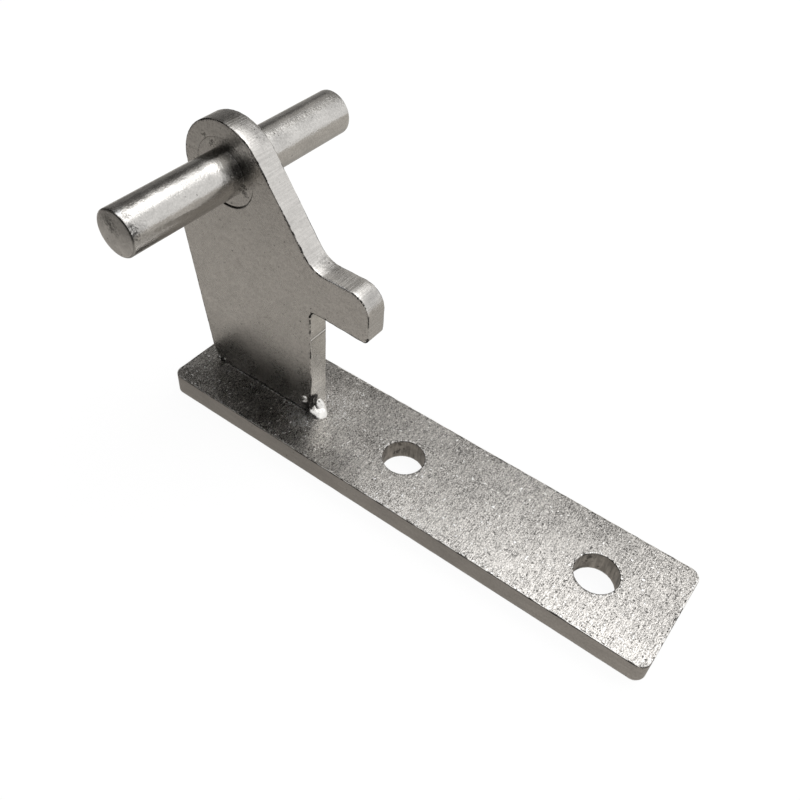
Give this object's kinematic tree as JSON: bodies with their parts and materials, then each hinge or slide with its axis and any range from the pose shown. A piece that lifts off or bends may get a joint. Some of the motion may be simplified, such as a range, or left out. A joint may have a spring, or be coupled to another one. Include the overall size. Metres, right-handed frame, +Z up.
{
  "type": "fridge door hinge",
  "caption": "Stainless hinge bracket: a flat drilled bar carrying an upright plate with a stop lug, and a cross pin through the plate's eye that a cabinet door turns on.",
  "frame": {"origin": "midway between the two screw holes, on the underside of the flat bar", "axes": "+X along the bar, away from the upright plate; +Y along the pin; +Z up, away from the face that the bar is screwed to"},
  "size_m": [0.093, 0.045, 0.0519],
  "materials": {
    "bar_steel": "bead-finished stainless flat bar with a fine cross grain",
    "plate_steel": "tumbled stainless plate with bright, finely ribbed cut edges",
    "pin_steel": "turned and tumbled stainless, semi-bright",
    "weld_steel": "small bright weld tacks with burnt edges"
  },
  "bodies": {
    "root": {"base_plate": "bar_steel", "upright_plate": "plate_steel", "hinge_pin": "pin_steel", "weld_tacks": "weld_steel"}
  },
  "joints": []
}
